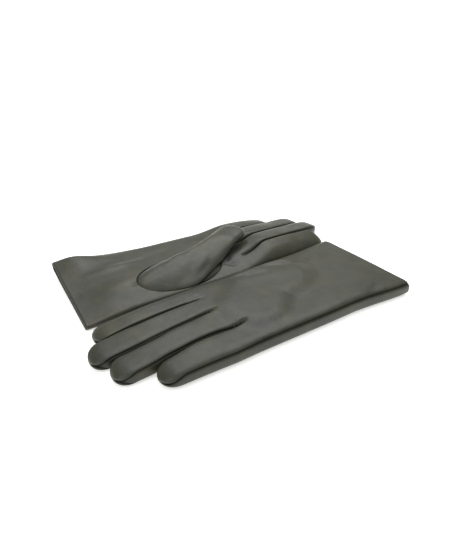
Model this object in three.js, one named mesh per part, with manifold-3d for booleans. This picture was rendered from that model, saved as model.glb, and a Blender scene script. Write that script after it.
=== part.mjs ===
// A pair of men's dress gloves in smooth leather, lying flat side by side and head to tail:
// the left glove with its back up and its thumb tucked underneath, the right glove with its
// palm up and its thumb laid on the palm. Millimetres, +Z up.
//
// Each glove is worked out in a frame of its own, with "along" the distance from the cuff edge
// towards the fingertips, "across" positive towards the index finger, and Z up. Along runs
// towards -X. The right glove is then turned half round and set beside the left one.
import * as THREE from 'three';
import { mergeVertices } from 'three/addons/utils/BufferGeometryUtils.js';
import Module from 'manifold-3d';

const wasm = await Module();
wasm.setup();

// Leather, lining and the clearances between the plies.
const LEATHER = 1.0;
const FACING = 0.7;
const LINING = 0.6;
const PLY_GAP = 0.4;
const SEAM_GAP = 0.3;

// The hand of the glove.
const HINGE_LINE = 160;
const PLY_HEIGHT = 13;
const FLARE_LENGTH = 60;
const INDEX_EDGE = { cuff: 45, palm: 43.5, fingers: 42.4 };
const LITTLE_EDGE = { cuff: -48.5, palm: -44, fingers: -42.2 };
const FACING_DEPTH = 22;
const HAND_ROWS = [0, 21, 42, 62, 82, 100, 118, 135, 148, HINGE_LINE - SEAM_GAP];
const HAND_COLUMNS = 12;

// Section of every tube: a rounded box, the superellipse of this power, flattened a little.
const ROUNDNESS = 2 / 2.6;
const FLATTENING = 1.08;

// Each finger: centre across at its root and tip, half-width, fingertip distance, and the sides
// that have a side wall (fourchette). The other side of the index is the fold of the leather.
const FINGERS = [
  { name: 'index', root: 33.1, tip: 30.8, half: 9.2, reach: 230.5, walls: ['inner'] },
  { name: 'middle', root: 13.0, tip: 9.0, half: 9.9, reach: 240.4, walls: ['outer', 'inner'] },
  { name: 'ring', root: -8.8, tip: -12.2, half: 10.1, reach: 233.3, walls: ['outer', 'inner'] },
  { name: 'little', root: -32.0, tip: -30.0, half: 9.8, reach: 210.2, walls: ['outer'] },
];
const FINGER_TAPER = 0.08;
const TIP_HEIGHT = 9.4;
const TIP_ROUNDNESS = 2 / 2.2;
const WALL_ANGLE = THREE.MathUtils.degToRad(40);
const FORKS = [
  { along: 149.1, across: 23.4 },
  { along: 150.9, across: 2.2 },
  { along: 139.5, across: -20.6 },
];
const SLIT_WIDTH = 0.8;

// The oval seam of each thumb on the palm, and the thumb's own tube. Side is +1 where the palm
// faces up and -1 where it faces down. Heading is measured from the finger direction towards
// the little finger.
const THUMB_ON_TOP = {
  side: 1,
  oval: { along: 86, across: 22, halfLength: 34, halfWidth: 19.5 },
  neck: { along: 119, across: 13.5, z: 20.4 },
  heading: THREE.MathUtils.degToRad(16),
  length: 40.6,
  half: 13,
  rise: 6.5,
  tipLift: 1,
  swell: 6,
  neckGap: 0.4,
};
const THUMB_BENEATH = {
  side: -1,
  oval: { along: 78, across: 17, halfLength: 30, halfWidth: 14 },
  neck: { along: 104, across: 12, z: 4.5 },
  heading: THREE.MathUtils.degToRad(45),
  length: 37,
  half: 12,
  rise: 4.5,
  tipLift: 0,
  swell: 0,
  neckGap: 2.4,
};
// The palm that lies over the tucked thumb is lifted clear of it, and the back a little.
const TENT = { flat: 20, skirt: 29, edgeFade: 17, palmLift: 10.2, backLift: 4.4 };

// Where the right glove lies beside the left one.
const RIGHT_CUFF = { x: -229.75, y: 92.6 };
const RIGHT_TURN = THREE.MathUtils.degToRad(180 - 1.64);

const COLOURS = { leather: 0x5c5e57, wall: 0x53554e, facing: 0x4c4e48, lining: 0x2e2e2c };

const signedPower = (value, power) => Math.sign(value) * Math.abs(value) ** power;
const { clamp, lerp } = THREE.MathUtils;
const fade = (value) => THREE.MathUtils.smoothstep(value, 0, 1);
/** Height round a section, from -1 under it to 1 on top, flat over its middle. */
const sectionHeight = (angle) =>
  clamp(FLATTENING * signedPower(Math.sin(angle), ROUNDNESS), -1, 1);
const place = (along, across, z) => new THREE.Vector3(-along, across, z);

/**
 * A thin closed body: an outer grid, the same grid one wall further in, and the rim between.
 * A ring is a grid whose last column is its first one, so it has no rim along its sides.
 */
function shell(pointAt, rows, columns, wall, isRing = false) {
  const positions = [];
  const indices = [];
  const stride = columns + 1;
  for (const depth of [0, wall]) {
    for (let row = 0; row <= rows; row += 1) {
      for (let column = 0; column <= columns; column += 1) {
        positions.push(...pointAt(row, column, depth).toArray());
      }
    }
  }
  const inner = (rows + 1) * stride;
  const quad = (a, b, c, d) => indices.push(a, b, c, a, c, d);
  for (let row = 0; row < rows; row += 1) {
    for (let column = 0; column < columns; column += 1) {
      const corner = row * stride + column;
      const [a, b, c, d] = [corner, corner + 1, corner + stride + 1, corner + stride];
      quad(a, b, c, d);
      quad(inner + c, inner + b, inner + a, inner + d);
    }
  }
  const rim = (a, b) => quad(b, a, inner + a, inner + b);
  const last = rows * stride;
  for (let column = 0; column < columns; column += 1) {
    rim(column, column + 1);
    rim(last + column + 1, last + column);
  }
  for (let row = 0; row < rows && !isRing; row += 1) {
    rim((row + 1) * stride, row * stride);
    rim(row * stride + columns, (row + 1) * stride + columns);
  }
  return closedGeometry(positions, indices);
}

/** Merges the shared points, drops the flat triangles at seams and poles, and faces it outwards. */
function closedGeometry(positions, indices) {
  const loose = new THREE.BufferGeometry();
  loose.setAttribute('position', new THREE.Float32BufferAttribute(positions, 3));
  loose.setIndex(indices);
  const merged = mergeVertices(loose, 1e-3);
  const index = merged.index.array;
  const triangles = [];
  for (let i = 0; i < index.length; i += 3) {
    const corners = [index[i], index[i + 1], index[i + 2]];
    if (new Set(corners).size === 3) triangles.push(corners);
  }
  const corner = (i) => new THREE.Vector3().fromBufferAttribute(merged.attributes.position, i);
  let volume = 0;
  for (const [a, b, c] of triangles) {
    volume += corner(a).dot(corner(b).cross(corner(c)));
  }
  if (volume < 0) {
    for (const triangle of triangles) triangle.reverse();
  }
  merged.setIndex(triangles.flat());
  return merged;
}

function toSolid(geometry) {
  const vertProperties = new Float32Array(geometry.attributes.position.array);
  const triVerts = new Uint32Array(geometry.index.array);
  return new wasm.Manifold(new wasm.Mesh({ numProp: 3, vertProperties, triVerts }));
}

function cut(geometry, cutters) {
  let solid = toSolid(geometry);
  for (const cutter of cutters) solid = solid.subtract(toSolid(cutter));
  const result = solid.getMesh();
  const bare = new THREE.BufferGeometry();
  bare.setAttribute('position', new THREE.BufferAttribute(result.vertProperties, 3));
  bare.setIndex(new THREE.BufferAttribute(result.triVerts, 1));
  return bare;
}

function bareMerged(geometry) {
  geometry.deleteAttribute('normal');
  geometry.deleteAttribute('uv');
  return mergeVertices(geometry, 1e-4);
}

/** A point of a tube's section at an angle: 0 is the index side, a quarter turn is the top. */
function sectionPoint(section, along, angle, depth) {
  const half = (section.outer - section.inner) / 2 - depth;
  const rise = (section.roof - section.floor) / 2 - depth;
  const across = (section.outer + section.inner) / 2 + half * signedPower(Math.cos(angle), ROUNDNESS);
  return place(along, across, (section.roof + section.floor) / 2 + rise * sectionHeight(angle));
}

/** Half-width across the hand: flared at the cuff, then narrowing slowly to the fingers. */
function handEdge(edge, along) {
  const flare = fade(1 - along / FLARE_LENGTH);
  const narrowing = fade((along - FLARE_LENGTH) / (HINGE_LINE - FLARE_LENGTH));
  return edge.palm + (edge.cuff - edge.palm) * flare + (edge.fingers - edge.palm) * narrowing;
}

function handSection(along) {
  return {
    outer: handEdge(INDEX_EDGE, along),
    inner: handEdge(LITTLE_EDGE, along),
    floor: 0,
    roof: PLY_HEIGHT,
  };
}

/** How far the plies are lifted over a tucked thumb: 1 over it, fading to 0 around it. */
function tent(thumb, along, across) {
  if (thumb.side > 0) return 0;
  const tip = thumbPoint(thumb, thumb.length - thumb.half, 0);
  const line = [[thumb.oval, thumb.neck], [thumb.neck, { along: tip.along, across: tip.across }]];
  const distances = line.map(([from, to]) => {
    const run = new THREE.Vector2(to.along - from.along, to.across - from.across);
    const point = new THREE.Vector2(along - from.along, across - from.across);
    const share = clamp(point.dot(run) / run.lengthSq(), 0, 1);
    return point.sub(run.multiplyScalar(share)).length();
  });
  const spread = fade((TENT.skirt - Math.min(...distances)) / (TENT.skirt - TENT.flat));
  const toIndex = fade((handEdge(INDEX_EDGE, along) - across) / TENT.edgeFade);
  const toLittle = fade((across - handEdge(LITTLE_EDGE, along)) / TENT.edgeFade);
  const toFingers = fade((HINGE_LINE - along) / (TENT.edgeFade / 2));
  return spread * toIndex * toLittle * toFingers;
}

/** A point of the hand's plies, all lifted alike: the first half turn is the upper ply. */
function handPoint(thumb, along, angle, depth) {
  const section = handSection(along);
  const point = sectionPoint(section, along, angle, depth);
  const lift = lerp(TENT.palmLift, TENT.backLift, (1 + sectionHeight(angle)) / 2);
  point.z += lift * tent(thumb, along, sectionPoint(section, along, angle, 0).y);
  return point;
}

/** Upper ply (0 to half a turn) or lower ply (half to a full turn) of the hand. */
function handPly(thumb, upper) {
  const start = upper ? 0 : Math.PI;
  const shift = upper ? SEAM_GAP / 2 : -SEAM_GAP / 2;
  const pointAt = (row, column, depth) => {
    const angle = start + (Math.PI * column) / HAND_COLUMNS;
    const point = handPoint(thumb, HAND_ROWS[row], angle, depth);
    point.z += shift;
    return point;
  };
  return shell(pointAt, HAND_ROWS.length - 1, HAND_COLUMNS, LEATHER);
}

/** A full tube inside the hand, between two rows along, one ply further in. */
function handTube(thumb, rows, inset, wall) {
  const pointAt = (row, column, depth) => {
    const angle = (Math.PI * column) / HAND_COLUMNS;
    return handPoint(thumb, rows[row], angle, inset + depth);
  };
  return shell(pointAt, rows.length - 1, 2 * HAND_COLUMNS, wall, true);
}

/** Thin upright slabs that part the finger roots from each fork to the hinge line. */
function forkSlits() {
  return FORKS.map((fork) => {
    const length = HINGE_LINE + 10 - fork.along;
    const slab = new THREE.BoxGeometry(length, SLIT_WIDTH, 6 * PLY_HEIGHT);
    slab.translate(-fork.along - length / 2, fork.across, 0);
    return bareMerged(slab);
  });
}

/** An upright oval prism through the palm only. */
function ovalCutter(thumb) {
  const { along, across, halfLength, halfWidth } = thumb.oval;
  const outline = new THREE.Shape();
  outline.absellipse(-along, across, halfLength, halfWidth, 0, 2 * Math.PI);
  const prism = new THREE.ExtrudeGeometry(outline, {
    depth: 2 * PLY_HEIGHT,
    bevelEnabled: false,
    curveSegments: 24,
  });
  prism.translate(0, 0, thumb.side > 0 ? PLY_HEIGHT / 2 : -PLY_HEIGHT);
  return bareMerged(prism);
}

/** The point on a thumb's centre line at a distance from its neck, moved sideways. */
function thumbPoint(thumb, distance, sideways) {
  const [sine, cosine] = [Math.sin(thumb.heading), Math.cos(thumb.heading)];
  return {
    along: thumb.neck.along + distance * cosine + sideways * sine,
    across: thumb.neck.across - distance * sine + sideways * cosine,
  };
}

const THUMB_COLUMNS = 12;
const TUBE_ROWS = 6;

/** Section of the thumb's tube at a distance from the neck; a quarter turn is away from the palm. */
function thumbTube(thumb, distance, angle, depth, squeeze = 1) {
  const half = (thumb.half - depth) * squeeze;
  const rise = (thumb.rise - depth) * squeeze;
  const sideways = half * signedPower(Math.cos(angle), ROUNDNESS);
  const spot = thumbPoint(thumb, distance, sideways);
  const lift = (thumb.tipLift * distance) / thumb.length;
  return place(spot.along, spot.across, thumb.neck.z + lift + thumb.side * rise * sectionHeight(angle));
}

/** The base of the thumb: from the oval seam in the palm, curving over into the tube's neck. */
function thumbBase(thumb) {
  const rows = 5;
  const { oval } = thumb;
  const heading = place(Math.cos(thumb.heading), -Math.sin(thumb.heading), 0);
  const pointAt = (row, column, depth) => {
    const angle = (2 * Math.PI * column) / THUMB_COLUMNS;
    const away = (1 + Math.sin(angle)) / 2;
    const along = oval.along - (oval.halfLength - 2 * SEAM_GAP - depth) * Math.sin(angle);
    const across = oval.across + (oval.halfWidth - 2 * SEAM_GAP - depth) * Math.cos(angle);
    const palm = palmHeight(thumb, along, across) - thumb.side * LEATHER;
    const from = place(along, across, palm);
    const to = thumbTube(thumb, 0, angle, depth);
    const up = new THREE.Vector3(0, 0, thumb.side * (thumb.rise + thumb.swell * away));
    const on = heading.clone().multiplyScalar(8 + 40 * away);
    const t = row / rows;
    return from.multiplyScalar(2 * t ** 3 - 3 * t ** 2 + 1)
      .addScaledVector(up, t ** 3 - 2 * t ** 2 + t)
      .addScaledVector(to, 3 * t ** 2 - 2 * t ** 3)
      .addScaledVector(on, t ** 3 - t ** 2);
  };
  return shell(pointAt, rows, THUMB_COLUMNS, LEATHER, true);
}

/** Height of the palm's outer face where the thumb is set in. */
function palmHeight(thumb, along, across) {
  const { outer, inner } = handSection(along);
  const offset = (2 * across - outer - inner) / (outer - inner);
  const angle = Math.acos(signedPower(clamp(offset, -1, 1), 1 / ROUNDNESS));
  return handPoint(thumb, along, thumb.side * angle, 0).z;
}

/** Rows of a tube with a rounded end: distance along it and how far its section has shrunk. */
function roundedRows(length, radius) {
  const straight = [0, 0.4, 0.75, 1].map((share) => ({ at: share * (length - radius), squeeze: 1 }));
  const curved = [35, 65, 90].map((degrees) => {
    const turn = THREE.MathUtils.degToRad(degrees);
    return {
      at: length - radius + radius * Math.sin(turn) ** TIP_ROUNDNESS,
      squeeze: degrees === 90 ? 0 : Math.cos(turn) ** TIP_ROUNDNESS,
    };
  });
  return [...straight, ...curved];
}

/** The free tube of the thumb, in leather or, further in, in lining. */
function thumbStall(thumb, inset, wall) {
  const pointAt = (row, column, depth) => {
    const angle = (2 * Math.PI * column) / THUMB_COLUMNS;
    const sunk = inset + depth;
    const length = thumb.length - thumb.neckGap - sunk;
    const { at, squeeze } = roundedRows(length, thumb.half - sunk)[row];
    return thumbTube(thumb, thumb.neckGap + at, angle, sunk, squeeze);
  };
  return shell(pointAt, TUBE_ROWS, THUMB_COLUMNS, wall, true);
}

// Stations round a finger's section: four steps over the top, two down the inner side wall,
// four under, and two up the outer side wall.
const STATIONS = { top: 4, inner: 2, bottom: 4, outer: 2 };
const FULL_RING = 12;
const WALL_END_ROW = 4;

/** Angle of a station. The side walls span wallAngle above and below mid-height. */
function stationAngle(station, wallAngle) {
  const turns = Math.floor(station / FULL_RING);
  const local = station - turns * FULL_RING;
  const strip = (Math.PI - 2 * wallAngle) / STATIONS.top;
  let angle = 2 * Math.PI - wallAngle + wallAngle * (local - 10);
  if (local <= 4) angle = wallAngle + strip * local;
  else if (local <= 6) angle = Math.PI - wallAngle + wallAngle * (local - 4);
  else if (local <= 10) angle = Math.PI + wallAngle + strip * (local - 6);
  return angle + 2 * Math.PI * turns;
}

/** A piece of one finger: its strip of stations, shrunk a little at both ends for the seams. */
function fingerPiece(finger, stations, options) {
  const { inset = 0, wall = LEATHER, trim = 0, shift = 0, rows = TUBE_ROWS } = options;
  const start = HINGE_LINE + SEAM_GAP;
  const [first, last] = stations;
  const pointAt = (row, column, depth) => {
    const sunk = inset + depth;
    const length = finger.reach - start - sunk;
    const { at, squeeze } = roundedRows(length, 1.15 * finger.half - sunk)[row];
    const share = at / length;
    const wallAngle = WALL_ANGLE * (1 - Math.min(1, row / WALL_END_ROW) ** 2.5);
    const margin = trim * (wallAngle + WALL_ANGLE / 4);
    const from = stationAngle(first, wallAngle) + margin;
    const to = stationAngle(last, wallAngle) - margin;
    const angle = clamp(stationAngle(first + column, wallAngle), from, Math.max(from, to));
    const half = finger.half * (1 - FINGER_TAPER * share);
    const middle = lerp(finger.root, finger.tip, share);
    const height = lerp(PLY_HEIGHT, TIP_HEIGHT, share ** 2);
    const section = {
      outer: middle + (half - sunk) * squeeze,
      inner: middle - (half - sunk) * squeeze,
      floor: height / 2 - (height / 2 - sunk) * squeeze,
      roof: height / 2 + (height / 2 - sunk) * squeeze,
    };
    const point = sectionPoint(section, start + at, angle, 0);
    point.z += shift;
    return point;
  };
  return shell(pointAt, rows, last - first, wall, last - first === FULL_RING);
}

function material(colour, roughness) {
  return new THREE.MeshStandardMaterial({ color: colour, roughness, metalness: 0 });
}

function addPiece(glove, name, geometry, colour, roughness = 0.5) {
  const mesh = new THREE.Mesh(geometry, material(colour, roughness));
  mesh.name = `${glove.name}_${name}`;
  glove.add(mesh);
}

/** The index wraps round in one strip, the others are an upper and a lower strip. */
function addFinger(glove, finger, upperName, lowerName) {
  const { leather, wall, lining } = COLOURS;
  const seam = { trim: 0.06 };
  const upper = { ...seam, shift: SEAM_GAP / 2 };
  const lower = { ...seam, shift: -SEAM_GAP / 2 };
  if (finger.name === 'index') {
    addPiece(glove, 'index_wrap', fingerPiece(finger, [6, 16], seam), leather);
  } else {
    const end = finger.name === 'little' ? 5 : 4;
    const under = finger.name === 'little' ? [5, 10] : [6, 10];
    addPiece(glove, `${finger.name}_${upperName}`, fingerPiece(finger, [0, end], upper), leather);
    addPiece(glove, `${finger.name}_${lowerName}`, fingerPiece(finger, under, lower), leather);
  }
  for (const side of finger.walls) {
    const stations = side === 'inner' ? [4, 6] : [10, 12];
    const tapered = { trim: 0.06, rows: WALL_END_ROW };
    addPiece(glove, `${finger.name}_${side}_fourchette`, fingerPiece(finger, stations, tapered), wall);
  }
  const within = { inset: LEATHER + PLY_GAP, wall: LINING };
  addPiece(glove, `${finger.name}_lining`, fingerPiece(finger, [0, FULL_RING], within), lining, 0.9);
}

function buildGlove(name, thumb) {
  const glove = new THREE.Group();
  glove.name = name;
  const { leather, facing, lining } = COLOURS;
  const [upperName, lowerName] = thumb.side > 0 ? ['palm', 'back'] : ['back', 'palm'];
  const slits = forkSlits();
  const oval = ovalCutter(thumb);
  const upperCuts = thumb.side > 0 ? [...slits, oval] : slits;
  const lowerCuts = thumb.side > 0 ? slits : [...slits, oval];
  addPiece(glove, `hand_${upperName}`, cut(handPly(thumb, true), upperCuts), leather);
  addPiece(glove, `hand_${lowerName}`, cut(handPly(thumb, false), lowerCuts), leather);
  const facingRows = [0.5, FACING_DEPTH];
  const facingInset = LEATHER + PLY_GAP;
  addPiece(glove, 'cuff_facing', handTube(thumb, facingRows, facingInset, FACING), facing);
  const liningRows = [FACING_DEPTH + SEAM_GAP, ...HAND_ROWS.slice(2)];
  const liningTube = handTube(thumb, liningRows, LEATHER + PLY_GAP, LINING);
  addPiece(glove, 'hand_lining', cut(liningTube, [...slits, oval]), lining, 0.9);
  addPiece(glove, 'thumb_base', thumbBase(thumb), leather);
  addPiece(glove, 'thumb_stall', thumbStall(thumb, 0, LEATHER), leather);
  addPiece(glove, 'thumb_lining', thumbStall(thumb, LEATHER + PLY_GAP, LINING), lining, 0.9);
  for (const finger of FINGERS) addFinger(glove, finger, upperName, lowerName);
  return glove;
}

const pair = new THREE.Group();
pair.name = 'leather_gloves';
const left = buildGlove('left', THUMB_BENEATH);
const right = buildGlove('right', THUMB_ON_TOP);
right.rotation.z = RIGHT_TURN;
right.position.set(RIGHT_CUFF.x, RIGHT_CUFF.y, 0);
pair.add(left, right);

// The pair stands on z = 0 with its origin under the middle of its box.
pair.updateMatrixWorld(true);
const box = new THREE.Box3().setFromObject(pair, true);
const middle = box.getCenter(new THREE.Vector3());
pair.position.set(-middle.x, -middle.y, -box.min.z);

export default pair;
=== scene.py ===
"""A pair of lined leather dress gloves: the looks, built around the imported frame."""
import math
from dataclasses import dataclass

import bpy
import numpy as np
from mathutils import Matrix


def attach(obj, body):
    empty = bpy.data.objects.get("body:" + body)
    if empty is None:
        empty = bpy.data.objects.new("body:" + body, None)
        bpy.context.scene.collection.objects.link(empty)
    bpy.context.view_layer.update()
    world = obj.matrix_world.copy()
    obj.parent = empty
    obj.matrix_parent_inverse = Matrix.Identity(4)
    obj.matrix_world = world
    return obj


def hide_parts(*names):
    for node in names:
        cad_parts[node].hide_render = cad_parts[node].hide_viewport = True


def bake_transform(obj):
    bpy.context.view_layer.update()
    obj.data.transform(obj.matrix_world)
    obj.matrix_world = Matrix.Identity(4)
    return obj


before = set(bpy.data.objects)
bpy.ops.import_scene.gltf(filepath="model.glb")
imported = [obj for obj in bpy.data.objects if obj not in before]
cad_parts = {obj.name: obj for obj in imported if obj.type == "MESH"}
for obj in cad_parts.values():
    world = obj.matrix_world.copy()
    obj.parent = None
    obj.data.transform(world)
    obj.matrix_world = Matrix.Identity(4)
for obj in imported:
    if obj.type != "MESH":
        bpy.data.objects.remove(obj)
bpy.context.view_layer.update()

# ---------------------------------------------------------------- sizes, in millimetres
# A glove is worked out in its own frame: "along" runs from the cuff to the fingertips, "across" is
# positive towards the index finger, and z is up from the table.
MM = 0.001
FULL = 2 * math.pi
TABLE_GAP = 0.15
LEATHER = 0.9          # thickness of the skin
FACING_DEPTH = 22.0    # leather turned in at the cuff
LINING_DEPTH = 1.7     # how far a finger's lining lies inside its skin
HAND_LENGTH = 145.0    # from the cuff to the forks, near enough
HINGE_LINE = 160.0     # where the finger stalls fold
BEND_START, BEND_END, BEND_HEIGHT = 153.0, 176.0, 13.35   # the stretch and height of a finger's fold, which bend() works out but does not use
PLY_HALF = 6.5         # half the height of the lying hand
FINGER_PUFF = 1.05     # the filled fingers stand a little wider than the plain frame
FINGER_GAP = 0.08      # between two fingers that lie side by side, to each side of their middle line
TIP_HALF_HEIGHT = 4.7
FLARE_LENGTH = 60.0
INDEX_EDGE = {"cuff": 45.0, "palm": 43.5, "fingers": 42.4}
LITTLE_EDGE = {"cuff": -48.5, "palm": -44.0, "fingers": -42.2}
HAND_ROUND = 3.0       # exponent of the hand's rolled sides
TIP_ROUND = 2.3        # exponent of a fingertip
THUMB_TIP_ROUND = 2.7  # exponent of the thumb's tip
THUMB_TIP_LENGTH = 0.95   # the thumb's rounded end, in half-widths
WALL_ANGLE = math.radians(31)   # a side wall spans this much above and below mid-height
CROWN_LEAD = 9.0       # a finger's crown shows this far before its forks
FORK_RUN = 24.0        # length over which the hand turns into a finger
LIFT_OF_MIDDLE = 0.7   # share of a finger's lift that raises its middle
LIFT_OF_HALF = 0.3     # and the share that makes it thicker
MOST_NARROWED = 1.6    # a finger gives way to its neighbour by no more than this
CREASE_END, CREASE_FADE = 210.0, 45.0   # a shifted line runs straight again from here on
SHUT_SEAM, SHUT_LENGTH = 176.0, 24.0    # stretch where a closed line hides its seam
SHUT_PALER = 1.2       # how far from its seam the leather there is taken to be, so the painted seam shade is fainter
SEAM_PACE = 5.5        # millimetres of skin to a radian, at a finger's seams
THUMB_PACE = 9.0       # and at the thumb's
SEAM_TURN = 0.12       # the thumb's seam runs this angle below mid-height
OVAL_DROP = 1.6        # the palm lies this much lower under the thumb

# ROOT and TIP are the places across of a finger's middle line at the fold and at its tip, HALF is
# its half-width and REACH the place of its tip along the glove.
FINGERS = ("index", "middle", "ring", "little")
ROOT = {"index": 33.1, "middle": 13.0, "ring": -8.8, "little": -32.0}
TIP = {"index": 30.8, "middle": 9.0, "ring": -12.2, "little": -30.0}
HALF = {"index": 9.2, "middle": 9.9, "ring": 10.1, "little": 9.8}
REACH = {"index": 230.5, "middle": 240.4, "ring": 233.3, "little": 210.2}
# Exponents of a finger's section towards the index side and away from it: low where it rolls over
# freely, high where it is pressed against the next finger.
SIDE_ROUND = {"index": (2.1, 7.5), "middle": (7.5, 5.0), "ring": (5.0, 4.4), "little": (4.4, 3.0)}


@dataclass
class Thumb:
    """Where a thumb is set in and how it lies."""
    side: int          # 1 on the glove and -1 beneath it
    oval: tuple        # along, across
    oval_half: tuple
    neck: tuple        # along, across and z of the start of the free tube
    heading: float     # how far it points towards the little finger
    length: float
    half: float        # half-width of the tube
    rise: float        # half its height
    swell: float       # how far the root bulges out over its seam
    point: float       # how pointed the cuff end of the oval is
    climb: float       # how far the free tube rises towards its tip
    sag: float         # how much lower and thinner the tube is at its root


@dataclass
class Glove:
    """One glove: its place, which way up it lies, and the soft folds in its skin.

    A fold is (along, across, along, across, width, height): a soft ridge, or a hollow if negative.
    """
    name: str
    origin: tuple       # x and y of the middle of its cuff
    turn: float
    upper: str          # the ply that lies on top
    lower: str
    seam_face: int      # 1 if the little-finger seam is above mid-height, -1 if it is below
    cuff_half: tuple    # half-height of the cuff at the little and the index side
    cuff_middle: tuple  # height of the cuff's middle there
    index_roll: float   # how far in the rolled index side reaches, in half-heights
    little_roll: float
    finger_lift: tuple  # how high the fingers lie at their five sides, index side first
    forks: tuple        # along and across of the three forks, and how deep the skin dips there
    cuff_start: tuple   # where the cuff's edge lies along the glove, little and index side
    press: tuple        # how much flatter the hand is at the little and the index side
    cuff_bulge: float   # how far the little side stands up just past the cuff
    crease_shift: tuple  # how far the three lines between fingers lie towards the index side
    thumb: Thumb
    top_folds: tuple
    bottom_folds: tuple
    phase: float        # sets its unevenness apart from the other glove's


LEFT = Glove(
    name="left", origin=(115.053, -46.290), turn=0.0, upper="back", lower="palm", seam_face=1,
    cuff_half=(5.8, 5.9), cuff_middle=(5.9, 8.2), index_roll=2.1, little_roll=1.3,
    finger_lift=(0, 0, 0, 0, 0), forks=((149.1, 23.4, 0.5), (149.5, 6.0, 1.5), (139.5, -19.5, 1.5)),
    cuff_start=(-1.8, 4.5), press=(0.0, 0.0), cuff_bulge=0.0, crease_shift=(0.0, 2.2, 3.2),
    thumb=Thumb(-1, (78, 17), (30, 14), (104, 12, 4.5), math.radians(45), 37, 12, 4.5, 0, 0.0, 0, 0),
    top_folds=(
        (117, 37, 88, 27, 3.2, 2.0), (91, 38, 50, 25, 3.6, 2.0), (112, 22, 56, 15, 7.0, 0.5),
        (60, 34, 22, 30, 7.0, -0.4), (36, -41, 24, -37, 4.0, -0.9), (150, 27, 164, 24, 1.5, -0.5),
        (172, 23, 205, 21, 1.4, -0.5), (120, -34, 70, -36, 7.0, 0.3),
    ),
    bottom_folds=((40, 10, 12, 18, 6.0, 0.6), (60, -30, 20, -20, 7.0, -0.5)),
    phase=0.0,
)
RIGHT = Glove(
    name="right", origin=(-114.697, 46.310), turn=math.radians(178.36), upper="palm", lower="back",
    seam_face=-1, cuff_half=(4.4, 1.7), cuff_middle=(9.6, 2.3), index_roll=1.5, little_roll=1.7,
    finger_lift=(0.5, 7.5, 5.0, 2.4, 0.0),
    forks=((149.1, 23.4, 1.5), (150.9, 2.2, 1.5), (139.5, -20.6, 1.5)),
    cuff_start=(0.0, 0.0), press=(0.27, 0.42), cuff_bulge=2.8, crease_shift=(0.0, 0.0, 0.0),
    thumb=Thumb(1, (88, 20.3), (37, 20.2), (118, 14.8, 19.0), math.radians(28), 49, 13.4, 5.0, 3,
                0.12, 2.5, 2.2),
    top_folds=(
        (22, -12, 66, -14, 4.5, 0.9), (66, -14, 96, -22, 6.0, 0.5), (18, 26, 50, 28, 5.0, 0.5),
        (26, -34, 60, -32, 8.0, 0.6), (10, 4, 44, 8, 7.0, -0.5), (127, 27, 136, 20, 2.4, -0.7),
        (127, 27, 137, 32, 2.2, -0.7), (51, 21, 46, 20, 1.8, -0.9), (120, -30, 150, -30, 6.0, 0.4),
    ),
    bottom_folds=((110, 20, 60, 24, 8.0, 0.6), (60, -20, 20, -28, 7.0, -0.5)),
    phase=2.1,
)
GLOVES = (LEFT, RIGHT)


# ---------------------------------------------------------------- plain mathematics
def smooth(x):
    """3x^2 - 2x^3 between 0 and 1, held outside."""
    x = np.clip(x, 0, 1)
    return x * x * (3 - 2 * x)


def power(x, exponent):
    """|x| to the exponent, with the sign of x."""
    return np.sign(x) * np.abs(x) ** exponent


def mix(a, b, share):
    return a + (b - a) * share


def stack(along, across, z):
    return np.stack(np.broadcast_arrays(along, across, z), axis=-1)


def bump_line(along, across, fold):
    """Height of a fold: a bell across the line from its first point to its second, fading at both ends."""
    a0, c0, a1, c1, width, height = fold
    run = np.array([a1 - a0, c1 - c0], float)
    share = ((along - a0) * run[0] + (across - c0) * run[1]) / run.dot(run)
    held = np.clip(share, 0, 1)
    far = (along - a0 - held * run[0]) ** 2 + (across - c0 - held * run[1]) ** 2
    return height * np.exp(-far / width ** 2) * (0.35 + 0.65 * np.sin(np.pi * held))


def ripple(glove, along, across):
    """Slow unevenness of soft leather: a sum of five sine waves, about 0.3 mm high."""
    waves = ((0.071, 0.043, 0.3), (-0.052, 0.088, 1.7), (0.13, -0.06, 4.0), (0.035, 0.17, 2.2),
             (0.19, 0.11, 5.1))
    total = 0
    for number, (ka, kc, start) in enumerate(waves):
        total = total + np.sin(ka * along + kc * across + start + glove.phase) / (1 + number)
    return 0.17 * total


# ---------------------------------------------------------------- the hand
def hand_edge(edge, along):
    """Half-width: flared at the cuff, then narrowing slowly to the fingers."""
    flare = smooth(1 - along / FLARE_LENGTH)
    narrowing = smooth((along - FLARE_LENGTH) / (HINGE_LINE - FLARE_LENGTH))
    return (edge["palm"] + (edge["cuff"] - edge["palm"]) * flare
            + (edge["fingers"] - edge["palm"]) * narrowing)


def tent(glove, along, across):
    """How far the plies are lifted over a tucked thumb: 1 within 15 mm of its line, 0 from 33 mm on."""
    thumb = glove.thumb
    if thumb.side > 0:
        return 0 * along
    tip = thumb_axis(thumb, thumb.length - thumb.half)
    line = (thumb.oval, thumb.neck[:2], tip)
    nearest = 1e9 + 0 * along
    for (a0, c0), (a1, c1) in zip(line, line[1:]):
        run = np.array([a1 - a0, c1 - c0], float)
        share = np.clip(((along - a0) * run[0] + (across - c0) * run[1]) / run.dot(run), 0, 1)
        far = np.hypot(along - a0 - share * run[0], across - c0 - share * run[1])
        nearest = np.minimum(nearest, far)
    spread = smooth((33 - nearest) / 18)
    return (spread * smooth((hand_edge(INDEX_EDGE, along) - across) / 17)
            * smooth((across - hand_edge(LITTLE_EDGE, along)) / 17) * smooth((HINGE_LINE - along) / 9))


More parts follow.
